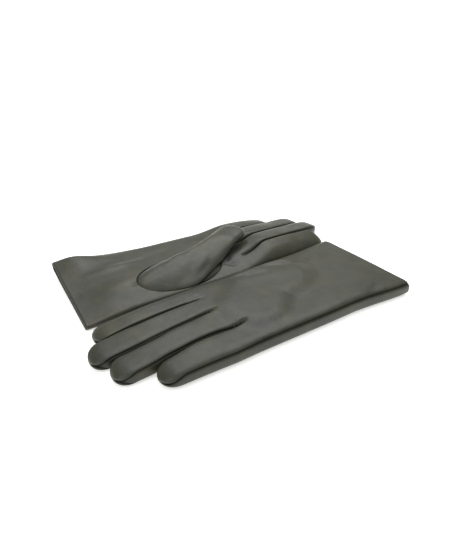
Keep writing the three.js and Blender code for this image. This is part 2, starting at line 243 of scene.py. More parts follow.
def hand_height(glove, along, across, side):
    """Height of the hand's skin: rolled sides, a flatter cuff, valleys towards the forks, soft folds.

    side runs from 1 on the upper ply to -1 on the lower one, and through 0 down the rolled edge.
    """
    low, high = hand_edge(LITTLE_EDGE, along), hand_edge(INDEX_EDGE, along)
    place = np.clip((across - low) / (high - low), 0, 1)
    cuff = smooth(1 - along / 46)
    half = mix(PLY_HALF, mix(glove.cuff_half[0], glove.cuff_half[1], place), cuff)
    middle = mix(PLY_HALF, mix(glove.cuff_middle[0], glove.cuff_middle[1], place), cuff)
    flatter = (glove.press[1] * smooth((across - 12) / (high - 12)) * smooth((HINGE_LINE + 12 - along) / 40)
               + glove.press[0] * smooth((14 - across) / (14 - low)) * smooth((along - 28) / 60))
    flatter = flatter * (1 - cuff)
    half = half * (1 - flatter)
    middle = middle - PLY_HALF * flatter
    middle = middle + glove.cuff_bulge * np.exp(-((along - 18) / 13) ** 2) * smooth(1 - place / 0.45)
    fullness = 1.0
    for distance, roll in ((high - across, glove.index_roll), (across - low, glove.little_roll)):
        reach = np.where(side > 0, roll, 1.3) * half
        inward = np.clip(distance / reach, 0, 1)
        fullness = fullness * (1 - (1 - inward) ** HAND_ROUND) ** (1 / HAND_ROUND)
    upper = (side >= 0)
    inner = smooth(np.minimum(high - across, across - low) / 9)
    relief = ripple(glove, along, across) * inner * smooth(along / 30)
    for fold in glove.top_folds:
        relief = relief + np.where(upper, bump_line(along, across, fold), 0) * inner
    for fold in glove.bottom_folds:
        relief = relief + np.where(upper, 0, bump_line(along, across, fold)) * inner
    valley = 0
    for fork_along, fork_across, fork_depth in glove.forks:
        depth = fork_depth * smooth((along - fork_along + 4) / 5)
        valley = valley + depth * np.exp(-((across - fork_across) / 1.5) ** 2)
    lift = np.where(upper, 3.0, 9.6) * tent(glove, along, across)
    rise = (half * fullness + np.where(upper, relief, 0.25 * relief)
            - np.where(upper, valley, 0.5 * valley))
    rise = np.where(upper, rise, np.minimum(rise, half * fullness))
    if glove.thumb.side > 0:
        rise = rise - np.where(upper, oval_dip(glove.thumb, along, across), 0)
    return TABLE_GAP + middle + side * rise + lift


def thumb_axis(thumb, distance):
    """Along and across of a point on the tube's middle line."""
    return (thumb.neck[0] + distance * math.cos(thumb.heading),
            thumb.neck[1] - distance * math.sin(thumb.heading))


def oval_outline(thumb, angle, grow=0.0):
    """The seam that the thumb is set in: an ellipse whose cuff end is drawn out to a point."""
    away = (1 + np.sin(angle)) / 2
    along = thumb.oval[0] - (thumb.oval_half[0] + grow) * np.sin(angle)
    across = thumb.oval[1] + ((thumb.oval_half[1] + grow)
                              * power(np.cos(angle), 1 + thumb.point * away ** 4))
    return along, across


def oval_inside(thumb, along, across):
    """Distance in from the thumb's seam, negative outside it."""
    far = (along - thumb.oval[0]) / thumb.oval_half[0]
    wide = (across - thumb.oval[1]) / thumb.oval_half[1]
    away = np.clip((1 - far) / 2, 0, 1)
    wide = wide / np.maximum(0.3, np.maximum(1e-3, 1 - far ** 2) ** (thumb.point * away ** 4 / 2))
    size = np.maximum(np.hypot(far, wide), 1e-3)
    slope = np.hypot(far / thumb.oval_half[0], wide / thumb.oval_half[1]) / size
    return (1 - size) / slope


def oval_dip(thumb, along, across):
    """The palm turns down into the thumb's seam and stays lower under the thumb."""
    return OVAL_DROP * smooth((oval_inside(thumb, along, across) + 0.9) / 1.8)


# ---------------------------------------------------------------- the fingers
def finger_centre(name, along):
    """Place across of a finger's middle line, and the share of the finger that lies behind it."""
    share = np.clip((along - HINGE_LINE) / (REACH[name] - HINGE_LINE), 0, 1)
    return mix(ROOT[name], TIP[name], share), share


def tip_length(name):
    """Length of a finger's rounded end."""
    return 1.2 * HALF[name]


def squeeze(name, along):
    """How far a section has shrunk towards the tip: a superellipse over the last stretch."""
    radius = tip_length(name)
    x = np.clip((along - REACH[name] + radius) / radius, 0, 1)
    return (1 - x ** TIP_ROUND) ** (1 / TIP_ROUND)


def wall_angle(name, along):
    """Half the angle of a side wall, narrowing to nothing just before the tip."""
    return WALL_ANGLE * (1 - smooth((along - REACH[name] + 15) / 13))


def finger_lift(glove, name, along, wide):
    """How much higher a finger's crown lies: it rises over 30 mm at its root and then runs level."""
    towards, away = glove.finger_lift[FINGERS.index(name):][:2]
    return mix(away, towards, (wide + 1) / 2) * smooth((along - HINGE_LINE + 20) / 30)


def half_towards(glove, name, neighbour, along, gone):
    """Half-width on the side of a neighbour: the two lie against each other until one of them ends."""
    own = (HALF[name] + FINGER_PUFF) * (1 - 0.08 * gone)
    if neighbour is None:
        return own
    distance = np.abs(finger_centre(name, along)[0] - finger_centre(neighbour, along)[0])
    shared = distance * HALF[name] / (HALF[name] + HALF[neighbour]) - FINGER_GAP
    number, other = FINGERS.index(name), FINGERS.index(neighbour)
    shift = glove.crease_shift[min(number, other)] * (1 if other < number else -1)
    shared = np.clip(shared, own - MOST_NARROWED, own + MOST_NARROWED)
    shared = shared + shift * smooth((CREASE_END - along) / CREASE_FADE)
    beside = smooth((REACH[neighbour] - along + 2) / 16)
    return mix(own, shared, beside)


def section(name, angle):
    """A finger's superellipse at an angle, and how far in from it the side walls begin.

    Gives wide and high (both from -1 to 1), the exponent used, and the widest and narrowest place of
    the strips above and below.
    """
    towards, away = SIDE_ROUND[name]
    exponent = np.where(np.cos(angle) > 0, towards, away)
    wide, high = power(np.cos(angle), 2 / exponent), power(np.sin(angle), 2 / exponent)
    most = 1.0 if name == "index" else math.cos(WALL_ANGLE) ** (2 / towards)
    least = -1.0 if name == "little" else -math.cos(WALL_ANGLE) ** (2 / away)
    return wide, high, exponent, most, least


def skin(glove, name, along, angle, seams=True):
    """A point of the skin of one finger and of the hand in line with it.

    angle goes round the section: 0 is the index side, a quarter turn is up. Before the forks the
    point lies on the hand, past them on the finger's superellipse, and it turns smoothly from one to
    the other. The seams between strips and side walls are grooves 0.6 mm deep.
    """
    number = FINGERS.index(name)
    sine = np.sin(angle)
    wide, high, exponent, most, least = section(name, angle)
    wall_high = math.sin(WALL_ANGLE) ** (2 / exponent)
    outer_fork = glove.forks[number - 1] if number > 0 else None
    inner_fork = glove.forks[number] if number < 3 else None
    outer_line = outer_fork[1] if outer_fork else hand_edge(INDEX_EDGE, along)
    inner_line = inner_fork[1] if inner_fork else hand_edge(LITTLE_EDGE, along)
    held = np.clip(wide, least, most)
    share = (held - least) / (most - least)
    hand_across = mix(inner_line, outer_line, share)
    side = np.sign(sine) + (sine == 0)
    walls = ((wide > most) & (number > 0)) | ((wide < least) & (number < 3))
    upright = np.where(walls, np.clip(np.abs(high) / wall_high, 0, 1), 1.0)
    top = hand_height(glove, along, hand_across, 1.0 + 0 * along)
    bottom = hand_height(glove, along, hand_across, -1.0 + 0 * along)
    own = np.where(side > 0, top, bottom)
    hand_z = np.where(walls, mix((top + bottom) / 2, own, upright), own)

    fork_outer = (outer_fork or inner_fork)[0]
    fork_inner = (inner_fork or outer_fork)[0]
    begin = mix(fork_inner, fork_outer, share)
    crown = np.clip(1 - (held / np.where(held > 0, most, -least)) ** 2, 0, 1)
    if number in (0, 3):
        outside = held > 0 if number == 0 else held < 0
        crown = np.where(outside, 1.0, crown)
    turned = smooth((along - begin + CROWN_LEAD * crown) / (FORK_RUN + CROWN_LEAD * crown))

    centre, gone = finger_centre(name, along)
    shrink = squeeze(name, along)
    before = FINGERS[number - 1] if number > 0 else None
    after = FINGERS[number + 1] if number < 3 else None
    half = np.where(wide > 0, half_towards(glove, name, before, along, gone),
                    half_towards(glove, name, after, along, gone))
    height = mix(PLY_HALF, TIP_HALF_HEIGHT, gone ** 2)
    raised = finger_lift(glove, name, along, wide * shrink)
    uneven = ripple(glove, 1.7 * along + 31 * number, 2.1 * (centre + half * wide))
    puff = 1 + 0.05 * np.sin(np.pi * np.clip(gone * 1.15, 0, 1)) * (high > 0)
    across = centre + (half + 0.4 * uneven * np.abs(wide)) * wide * shrink
    thickness = height * puff + LIFT_OF_HALF * raised + 0.9 * uneven * (high > 0)
    z = TABLE_GAP + height + LIFT_OF_MIDDLE * raised + thickness * high * shrink
    for fold in glove.top_folds:
        z = z + np.where(high > 0.3, bump_line(along, across, fold), 0) * shrink
    across = mix(hand_across, across, turned)
    z = mix(hand_z, z, turned)
    if seams:
        gap = wall_angle(name, along)
        reach = np.full(np.shape(angle + along), 99.0)
        folded = turn_between(angle)
        if number > 0:
            reach = np.minimum(reach, np.abs(folded - gap))
        if number < 3:
            reach = np.minimum(reach, np.abs(math.pi - folded - gap))
        else:
            own_side = np.where(side == glove.seam_face, np.abs(math.pi - folded - gap), 99.0)
            reach = np.minimum(reach, own_side)
        slope = 2 / exponent
        pace = slope * np.hypot(10 * math.cos(WALL_ANGLE) ** (slope - 1) * math.sin(WALL_ANGLE),
                                6.5 * math.sin(WALL_ANGLE) ** (slope - 1) * math.cos(WALL_ANGLE))
        arc = pace * reach * np.maximum(shrink, 0.3)
        open_seam = smooth((along - begin + 1) / 7)
        if number == 3:
            side_seam = (np.abs(math.pi - folded - gap) < 0.5) & (side == glove.seam_face)
            open_seam = np.where(side_seam, 1.0, open_seam)
        depth = 0.6 * np.exp(-(arc / 0.75) ** 2) * open_seam * np.minimum(1, shrink * 2)
        core = np.hypot(wide * half, high * height) + 1e-9
        across = across - depth * wide * half / core
        z = z - depth * high * height / core
    return stack(along, across, z)


def strip_share(name, angle):
    """Where an angle lies on its strip: from 0 at the side away from the index side to 1 towards it."""
    wide, _, _, most, least = section(name, angle)
    return (np.clip(wide, least, most) - least) / (most - least)


def side_start(glove, name, angle):
    """Where a finger's pieces start along the glove: on the line between its two forks."""
    number = FINGERS.index(name)
    return mix(glove.forks[min(number, 2)][0], glove.forks[max(number - 1, 0)][0],
               strip_share(name, angle))


# ---------------------------------------------------------------- from grid to mesh
def to_world(glove, points):
    """Turns and places a glove's own millimetres in the shared frame, in metres."""
    along, across, z = np.moveaxis(points, -1, 0)
    cosine, sine = math.cos(glove.turn), math.sin(glove.turn)
    x = glove.origin[0] - along * cosine - across * sine
    y = glove.origin[1] - along * sine + across * cosine
    return np.stack([x, y, z], axis=-1) * MM


def grid_normals(points, ring):
    """Cross product of the two grid directions, from neighbouring points."""
    down = np.gradient(points, axis=0)
    if ring:
        wide = (np.roll(points, -1, axis=1) - np.roll(points, 1, axis=1)) / 2
    else:
        wide = np.gradient(points, axis=1)
    normal = np.cross(down, wide)
    size = np.linalg.norm(normal, axis=-1, keepdims=True)
    return normal / np.maximum(size, 1e-12), size[..., 0]


def make_mesh(name, points, faces, attributes=None, normals=None):
    """Puts whole arrays into a mesh object. Every face has four corners."""
    mesh = bpy.data.meshes.new(name)
    mesh.vertices.add(len(points))
    mesh.vertices.foreach_set("co", np.ascontiguousarray(points, np.float32).ravel())
    mesh.loops.add(faces.size)
    mesh.loops.foreach_set("vertex_index", faces.ravel().astype(np.int32))
    mesh.polygons.add(len(faces))
    mesh.polygons.foreach_set("loop_start", np.arange(0, faces.size, 4, dtype=np.int32))
    mesh.polygons.foreach_set("use_smooth", np.ones(len(faces), bool))
    for key, values in (attributes or {}).items():
        layer = mesh.attributes.new(key, "FLOAT", "POINT")
        layer.data.foreach_set("value", np.ascontiguousarray(values, np.float32).ravel())
    mesh.update(calc_edges=True)
    mesh.validate()
    if normals is not None:
        mesh.normals_split_custom_set_from_vertices(normals.reshape(-1, 3).tolist())
    piece = bpy.data.objects.new(name, mesh)
    bpy.context.scene.collection.objects.link(piece)
    return piece


def shell(name, glove, points, wall, ring=False, attributes=None, pin=None, flip=False):
    """A closed sheet: an outer grid, the same grid one wall further in, and the rims between them.

    The inner grid is the outer one moved along its normals. pin holds the normals of the rows that
    meet another piece, so that the light runs on smoothly from one to the other.
    """
    world = to_world(glove, points)
    normal, size = grid_normals(world, ring)
    if flip:
        normal = -normal
    flat = size < 1e-9
    if flat.any():
        onward = world[-1, 0] - world[-3, 0]
        spare = np.mean(normal[-2], axis=0) + onward / np.linalg.norm(onward)
        normal[flat] = spare / np.linalg.norm(spare)
    rows, columns = world.shape[:2]
    inner = world - normal * wall * MM
    everything = np.concatenate([world.reshape(-1, 3), inner.reshape(-1, 3)])
    index = np.arange(rows * columns).reshape(rows, columns)
    across = np.roll(index, -1, axis=1) if ring else index[:, 1:]
    base = index if ring else index[:, :-1]
    quads = np.stack([base[:-1], base[1:], across[1:], across[:-1]], axis=-1).reshape(-1, 4)
    count = rows * columns
    rims = [np.stack([base[0], across[0], across[0] + count, base[0] + count], -1),
            np.stack([across[-1], base[-1], base[-1] + count, across[-1] + count], -1)]
    if not ring:
        first, last = index[:, 0], index[:, -1]
        rims.append(np.stack([first[1:], first[:-1], first[:-1] + count, first[1:] + count], -1))
        rims.append(np.stack([last[:-1], last[1:], last[1:] + count, last[:-1] + count], -1))
    inner_quads = quads[:, ::-1] + count
    faces = np.concatenate([quads, inner_quads] + [rim.reshape(-1, 4) for rim in rims])
    if flip:
        faces = faces[:, ::-1]
    given = {key: np.concatenate([np.ravel(v), np.ravel(v)]) for key, v in (attributes or {}).items()}
    held = None
    if pin is not None:
        held = np.zeros((2, rows, columns, 3))
        for row, values in pin.items():
            held[0, row] = values
            held[1, row] = -values
    return make_mesh(name, everything, faces, given, held)


def boundary_normals(glove, name, along, angle):
    """Normals of the bare skin, from its slopes along and round at the same points."""
    step_along, step_angle = 0.4, 0.02
    down = to_world(glove, skin(glove, name, along + step_along, angle)
                    - skin(glove, name, along - step_along, angle))
    wide = to_world(glove, skin(glove, name, along, angle + step_angle)
                    - skin(glove, name, along, angle - step_angle))
    origin = to_world(glove, np.zeros(3))
    normal = np.cross(down - origin, wide - origin)
    return normal / np.linalg.norm(normal, axis=-1, keepdims=True)


def even_angles(name, start, end, count):
    """Angles whose points lie evenly round a finger's section, closer at the seams at both ends."""
    across = np.linspace(-1, 1, 401)
    towards, away = SIDE_ROUND[name]
    level = np.arccos(power(across, np.where(across > 0, towards, away) / 2))
    dense = np.concatenate([np.linspace(start, end, 400), level, -level, FULL - level])
    dense = np.unique(dense[(dense >= start) & (dense <= end)])
    wide, high = section(name, dense)[:2]
    length = np.append(0, np.cumsum(np.hypot(10 * np.diff(wide), PLY_HALF * np.diff(high))))
    share = np.linspace(0, 1, count)
    share = share - 0.72 * np.sin(FULL * share) / FULL
    return np.interp(share * length[-1], length, dense)


# ---------------------------------------------------------------- pieces of a glove
STRIP_COLUMNS = 25
WALL_COLUMNS = 15
FINGER_ROWS = 96
CAP_ROWS = 14
HEM_END = 0.0085       # share of the hand taken up by the rounded hem


def finger_rows(glove, name, angle):
    """Rows along a finger, from the line between its forks to its tip, closer over the rounded end."""
    radius = tip_length(name)
    start = side_start(glove, name, angle)
    straight = np.linspace(0, 1, FINGER_ROWS - CAP_ROWS)[:, None] ** 1.15
    turn = np.linspace(0, math.pi / 2, CAP_ROWS + 1)[1:, None]
    body = start + (REACH[name] - radius - start) * straight
    cap = REACH[name] - radius + radius * np.sin(turn) ** (2 / TIP_ROUND) + 0 * start
    return np.concatenate([body, cap])


def finger_strip(glove, name, part, cad_part, slot, columns, first, last):
    """One strip or side wall of a finger, between two seams.

    first and last are its edges: an angle, and the sign with which a wall's half-angle is added.
    """
    first_edge, last_edge = first[0] + first[1] * WALL_ANGLE, last[0] + last[1] * WALL_ANGLE
    at_start = even_angles(name, first_edge, last_edge, columns)[None, :]
    along = finger_rows(glove, name, at_start)
    gap = wall_angle(name, along)
    share = (at_start - first_edge) / (last_edge - first_edge)
    begin, end = first[0] + first[1] * gap, last[0] + last[1] * gap
    angle = begin + (end - begin) * share
    points = skin(glove, name, along, angle)
    edge = np.minimum(share, 1 - share) * np.abs(end - begin) * SEAM_PACE
    pins = {0: boundary_normals(glove, name, along[0], angle[0])}
    # where index and middle lie shut together the seam distance is raised, so the painted seam shade there
    # is fainter
    if glove.forks[0][2] < 1 and name in ("index", "middle"):
        beside = share > 0.5 if name == "index" else share < 0.5
        edge = edge + SHUT_PALER * (np.exp(-((along - SHUT_SEAM) / SHUT_LENGTH) ** 4) * beside)
    # seam: distance from the nearest seam, which the leather material uses to paint shade into the seams
    attributes = {"seam": edge, "run": along + 0 * angle}
    piece = shell(f"{glove.name}_{name}_{part}", glove, points, LEATHER, attributes=attributes, pin=pins)
    bend(glove, piece, name)
    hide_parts(f"{glove.name}_{name}_{cad_part}")
    return piece


def bend(glove, piece, finger):
    """Bakes a finger's piece into its place; the ends of the fold past its forks are worked out but not
    used.
    """
    across = ROOT[finger]
    start, end = to_world(glove, np.array([[BEND_START, across, BEND_HEIGHT],
                                           [BEND_END, across, BEND_HEIGHT]]))
    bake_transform(piece)


def finger_parts(glove, name):
    """Strips on top and beneath a finger, and its side walls, as the arguments of finger_strip."""
    seam = -glove.seam_face
    if name == "index":
        strips = [("wrap", 2 * STRIP_COLUMNS, (-math.pi, 1), (math.pi, -1))]
    elif name == "little":
        strips = [(glove.upper, STRIP_COLUMNS + 8, (0, 1), (math.pi, seam)),
                  (glove.lower, STRIP_COLUMNS + 8, (math.pi, seam), (FULL, -1))]
    else:
        strips = [(glove.upper, STRIP_COLUMNS, (0, 1), (math.pi, -1)),
                  (glove.lower, STRIP_COLUMNS, (math.pi, 1), (FULL, -1))]
    parts = [(f"leather_{side}", side, "leather", *rest) for side, *rest in strips]
    for side, middle, end in (("outer", 0, "index"), ("inner", math.pi, "little")):
        if name != end:
            parts.append((f"{side}_side_wall", f"{side}_fourchette", "fourchette_leather", WALL_COLUMNS,
                          (middle, -1), (middle, 1)))
    return parts


def fingers(glove):
    return [finger_strip(glove, name, *part) for name in FINGERS for part in finger_parts(glove, name)]


def ring_columns():
    """Every column round the hand: which finger it is in line with, and its angle on that finger."""
    turn = math.pi - WALL_ANGLE
    stretches = [("index", 0, turn), ("middle", WALL_ANGLE, turn), ("ring", WALL_ANGLE, turn),
                 ("little", WALL_ANGLE, math.pi), ("little", math.pi, FULL - WALL_ANGLE),
                 ("ring", math.pi + WALL_ANGLE, FULL - WALL_ANGLE),
                 ("middle", math.pi + WALL_ANGLE, FULL - WALL_ANGLE), ("index", math.pi + WALL_ANGLE, FULL)]
    return [(name, even_angles(name, start, end, STRIP_COLUMNS + 15)[:-1]) for name, start, end in stretches]


def cuff_place(name, angle):
    """Where a column meets the cuff: 0 on the little side to 1 on the index side."""
    return (3 - FINGERS.index(name) + strip_share(name, angle)) / 4


def hand_grid(glove, rows):
    """Points of the hand's skin on rows given as shares of the way from the cuff to the forks."""
    points, alongs, seams = [], [], []
    for name, angle in ring_columns():
        end = side_start(glove, name, angle)
        start = mix(*glove.cuff_start, cuff_place(name, angle))
        along = start + rows[:, None] * (end - start)
        points.append(skin(glove, name, along, angle[None, :]))
        alongs.append(along)
        if name == "little":
            aside = np.abs(angle - (math.pi - glove.seam_face * WALL_ANGLE))[None, :]
            seams.append(aside * SEAM_PACE + 0 * along)
        else:
            facing = np.sin(angle) * glove.thumb.side > 0
            oval = np.abs(oval_inside(glove.thumb, along, points[-1][..., 1]))
            seams.append(np.where(facing, oval, 99))
    return (np.concatenate(points, axis=1), np.concatenate(alongs, axis=1),
            np.concatenate(seams, axis=1))


def ring_normals(glove, points):
    """Outward normals of a closed ring of points, in the glove's own frame."""
    normal, _ = grid_normals(to_world(glove, points), ring=True)
    cosine, sine = math.cos(glove.turn), math.sin(glove.turn)
    return np.stack([-(normal[..., 0] * cosine + normal[..., 1] * sine),
                     -normal[..., 0] * sine + normal[..., 1] * cosine, normal[..., 2]], axis=-1)


def inset_by(glove, points, depth, normals=None):
    """Moves a closed ring of points inwards along its normals, by a depth for each row."""
    if normals is None:
        normals = ring_normals(glove, points)
    return points - normals * np.reshape(depth, (-1, 1, 1))


def trank(glove):
    """The one skin of back and palm, rolled over on the index side, its edge turned in at the cuff."""
    hem_along = np.array([3.4, 2.0, 1.2, 0.55, 0.15, 0.0, 0.15, 0.55])
    hem_depth = np.array([1.15, 1.15, 1.12, 0.98, 0.76, 0.56, 0.34, 0.12])
    rows = HEM_END + (1 - HEM_END) * np.linspace(0, 1, 140) ** 0.94
    body, along, seam = hand_grid(glove, rows)
    edge = np.repeat(body[:1], len(hem_along), axis=0)
    edge = inset_by(glove, edge, hem_depth, normals=ring_normals(glove, body[:3])[:1])
    edge[..., 0] = body[:1, :, 0] + hem_along[:, None] - hem_along[-1]
    hem_seam = np.repeat(seam[:1], len(hem_along), axis=0)
    pins = {len(hem_along) + len(rows) - 1: np.concatenate([
        boundary_normals(glove, name, side_start(glove, name, angle), angle)
        for name, angle in ring_columns()])}
    points = np.concatenate([edge, body])
    along = np.concatenate([edge[..., 0], along])
    seam = np.concatenate([hem_seam, seam])
    piece = shell(f"{glove.name}_trank_leather", glove, points, 0.7, ring=True,
                  attributes={"seam": seam, "run": along}, pin=pins)
    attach(piece, f"{glove.name}_hand")
    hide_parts(f"{glove.name}_hand_back", f"{glove.name}_hand_palm")
    return piece


def inner_tube(glove, name, start, end, depth, wall, replaced):
    """A sleeve inside the hand: the skin's own shape, moved inwards by a depth."""
    rows = np.linspace(start, end, 60) / HAND_LENGTH
    plain, along, _ = hand_grid(glove, rows)
    sunk = inset_by(glove, plain, np.full(len(rows), depth))
    piece = shell(f"{glove.name}_{name}", glove, sunk, wall, ring=True, attributes={"run": along})
    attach(piece, f"{glove.name}_hand")
    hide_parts(replaced)
    return piece


def finger_lining(glove, name):
    """The knit tube inside one finger, closed at its tip: the finger's own section, further in."""
    angle = np.linspace(0, FULL, 49)[None, :-1]
    full = finger_rows(glove, name, np.array([[math.pi / 2]]))[::2]
    along = full + 0 * angle
    points = skin(glove, name, along, angle, seams=False)
    centre = skin(glove, name, along[:, :1], np.array([[0.0, math.pi]]), seams=False).mean(axis=1)
    gone = finger_centre(name, full[:, 0])[1]
    centre[:, 2] = (TABLE_GAP + mix(PLY_HALF, TIP_HALF_HEIGHT, gone ** 2)
                    + LIFT_OF_MIDDLE * finger_lift(glove, name, full[:, 0], 0.0))
    out = points - centre[:, None, :]
    reach = np.linalg.norm(out, axis=-1, keepdims=True)
    points = centre[:, None, :] + out * np.maximum(reach - LINING_DEPTH, 0) / np.maximum(reach, 1e-6)
    points[..., 0] -= 1.8 * (np.arange(len(full))[:, None] / len(full)) ** 8
    piece = shell(f"{glove.name}_{name}_lining_knit", glove, points, 0.5, ring=True,
                  attributes={"run": along})
    bend(glove, piece, name)
    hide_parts(f"{glove.name}_{name}_lining")
    return piece


# ---------------------------------------------------------------- the thumb
THUMB_BASE_ROWS = 44
THUMB_TUBE_ROWS = 60
THUMB_CAP_ROWS = 20


def thumb_section(thumb, distance, angle, depth=0.0):
    """The thumb's tube: a superellipse that narrows a little and closes with a rounded, squarish tip."""
    share = np.clip(distance / thumb.length, 0, 1)
    radius = THUMB_TIP_LENGTH * thumb.half
    x = np.clip((distance - thumb.length + radius) / radius, 0, 1)
    shrink = (1 - x ** THUMB_TIP_ROUND) ** (1 / THUMB_TIP_ROUND)
    half = (thumb.half * (1 - 0.07 * share) - depth) * shrink
    rise = (thumb.rise * (1 - 0.14 * share) - depth) * shrink
    side = half * power(np.cos(angle), 0.85)
    along = thumb.neck[0] + distance * math.cos(thumb.heading) + side * math.sin(thumb.heading)
    across = thumb.neck[1] - distance * math.sin(thumb.heading) + side * math.cos(thumb.heading)
    root = 1 - smooth(distance / 26)
    middle = thumb.neck[2] + thumb.climb * share - thumb.sag * root * (1 + 1.6 * np.cos(angle))
    z = TABLE_GAP + middle + thumb.side * (rise - 0.4 * thumb.sag * root) * power(np.sin(angle), 0.8)
    return stack(along, across, z)


def thumb_points(glove, sunk=0.0):
    """From the oval seam in the palm, over in one curve, into the free tube of the thumb."""
    thumb = glove.thumb
    angle = np.linspace(0, FULL, 97)[None, :-1]
    away = (1 + np.sin(angle)) / 2
    share = np.linspace(0, 1, THUMB_BASE_ROWS)[:, None, None] ** 1.2
    along, across = oval_outline(thumb, angle, grow=-0.2 - sunk)
    seam_z = hand_height(glove, along, across, float(thumb.side) + 0 * along) - thumb.side * (0.25 + sunk)
    start = stack(along, across, seam_z)
    neck = thumb_section(thumb, 0.0, angle, sunk)
    fuller = thumb.swell * 5.5 * np.clip(np.cos(angle), 0, 1) * smooth((0.7 - np.sin(angle)) / 0.7)
    up = stack(-fuller * np.sin(angle), fuller * np.cos(angle),
               thumb.side * (thumb.rise + 1.5 + thumb.swell * away))
    pull = 8 + 40 * away
    onward = stack(pull * math.cos(thumb.heading), -pull * math.sin(thumb.heading), 0 * away)
    base = (start * (2 * share ** 3 - 3 * share ** 2 + 1) + up * (share ** 3 - 2 * share ** 2 + share)
            + neck * (3 * share ** 2 - 2 * share ** 3) + onward * (share ** 3 - share ** 2))
    radius = THUMB_TIP_LENGTH * thumb.half
    turn = np.linspace(0, math.pi / 2, THUMB_CAP_ROWS)[1:, None]
    straight = np.linspace(0, thumb.length - radius, THUMB_TUBE_ROWS - THUMB_CAP_ROWS)[1:, None]
    cap = thumb.length - radius + radius * np.sin(turn) ** (2 / THUMB_TIP_ROUND)
    distance = np.concatenate([straight, cap])
    tube = thumb_section(thumb, distance, angle, sunk)
    far = np.concatenate([np.linspace(-thumb.length, 0, THUMB_BASE_ROWS)[:, None], distance])
    return np.concatenate([base, tube]), angle + 0 * far, far + 0 * angle


def turn_between(angle):
    """Size of an angle, taken the short way round."""
    return np.abs(np.arctan2(np.sin(angle), np.cos(angle)))


def thumb_relief(glove, points, angle, far):
    """Soft creases at the thumb's root, and the seam that runs up its sides and round its tip."""
    thumb = glove.thumb
    side = np.minimum(turn_between(angle + SEAM_TURN), turn_between(angle - math.pi - SEAM_TURN))
    groove = 0.7 * np.exp(-(side * THUMB_PACE / 0.9) ** 2) * smooth((far - 1) / 8)
    centre = points.mean(axis=1, keepdims=True)
    out = points - centre
    out = out / np.maximum(np.linalg.norm(out, axis=-1, keepdims=True), 1e-6)
    creases = (0.55 * np.sin(points[..., 0] * 0.33 + points[..., 1] * 0.42)
               * np.exp(-((far + 14) / 10) ** 2))
    creases = creases + 0.5 * ripple(glove, 1.6 * points[..., 0], 1.9 * points[..., 1])
    creases = creases * np.clip(np.sin(angle) * 2, 0, 1) * smooth((far + thumb.length) / 9)
    return points + out * (creases - groove)[..., None]


def thumb_pieces(glove):
    """The thumb's leather, and its knit lining inside."""
    plain, angle, far = thumb_points(glove)
    points = thumb_relief(glove, plain, angle, far)
    seam = turn_between(angle + SEAM_TURN) * THUMB_PACE
    seam = np.minimum(seam, (far + glove.thumb.length) * 0.8)
    flip = glove.thumb.side < 0
    piece = shell(f"{glove.name}_thumb_leather", glove, points, LEATHER, ring=True, flip=flip,
                  attributes={"seam": seam, "run": points[..., 0]})
    bend_thumb(glove, piece)
    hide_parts(f"{glove.name}_thumb_base", f"{glove.name}_thumb_stall")
    inner = thumb_points(glove, sunk=1.5)[0]
    lining = shell(f"{glove.name}_thumb_lining_knit", glove, inner[8:], 0.5, ring=True, flip=flip,
                   attributes={"run": inner[8:, :, 0]})
    bend_thumb(glove, lining)
    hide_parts(f"{glove.name}_thumb_lining")
    return piece, lining


def bend_thumb(glove, piece):
    """Bakes the thumb's piece into its place; the ends of the turn at its neck are worked out but not used.
    """
    ends = [(*thumb_axis(glove.thumb, distance), glove.thumb.neck[2]) for distance in (-7.0, 11.0)]
    start, end = to_world(glove, np.array(ends))
    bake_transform(piece)


# ---------------------------------------------------------------- stitches
def stitch_row(glove, name, paths, radius, body):
    """Short rounded stitches: each path, a few points long, carries a six-sided tube with closed ends."""
    sides = 6
    turn = np.linspace(0, FULL, sides + 1)[:-1]
    all_points, all_faces, start = [], [], 0
    for path in paths:
        world = to_world(glove, path)
        along = np.gradient(world, axis=0)
        along = along / np.linalg.norm(along, axis=-1, keepdims=True)
        side = np.cross(along, (0, 0, 1.0))
        side = side / np.maximum(np.linalg.norm(side, axis=-1, keepdims=True), 1e-9)
        up = np.cross(side, along)
        steps = len(path)
        thick = radius * MM * np.sin(np.linspace(0.12, math.pi - 0.12, steps)) ** 0.4
        ring = (np.cos(turn)[None, :, None] * side[:, None] + np.sin(turn)[None, :, None] * up[:, None])
        points = world[:, None] + ring * thick[:, None, None]
        index = start + np.arange(steps * sides).reshape(steps, sides)
        beside = np.roll(index, -1, axis=1)
        body_faces = np.stack([index[:-1], beside[:-1], beside[1:], index[1:]], -1).reshape(-1, 4)
        caps = [[row[0], row[1], row[2], row[3]] for row in (index[0][::-1], index[-1])]
        caps += [[row[3], row[4], row[5], row[0]] for row in (index[0][::-1], index[-1])]
        all_points.append(points.reshape(-1, 3))
        all_faces.append(np.concatenate([body_faces, np.array(caps)]))
        start += steps * sides
    piece = make_mesh(f"{glove.name}_{name}", np.concatenate(all_points), np.concatenate(all_faces))
    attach(piece, body)
    return piece


def fork_stitches(glove):
    """Overcast stitches that hold the fork ends, where the side walls start."""
    paths = []
    for name, fork in zip(("index", "middle", "ring"), glove.forks):
        for number in range(3):
            angle = math.pi - WALL_ANGLE + np.linspace(-0.14, 0.16, 5)
            along = fork[0] + 1.4 + 3.1 * number + np.linspace(-0.5, 0.6, 5)
            path = skin(glove, name, along, angle, seams=False)
            path[:, 2] += 0.05 * np.sin(np.linspace(0, math.pi, 5))
            paths.append(path)
    return stitch_row(glove, "fork_stitches", paths, 0.2, f"{glove.name}_hand")


# ---------------------------------------------------------------- materials
def linear(code):
    """An sRGB colour, written as six hex digits, as linear red, green, blue and alpha."""
    parts = np.array([int(code[i:i + 2], 16) for i in (0, 2, 4)]) / 255
    bright = np.where(parts <= 0.04045, parts / 12.92, ((parts + 0.055) / 1.055) ** 2.4)
    return (*bright.tolist(), 1.0)


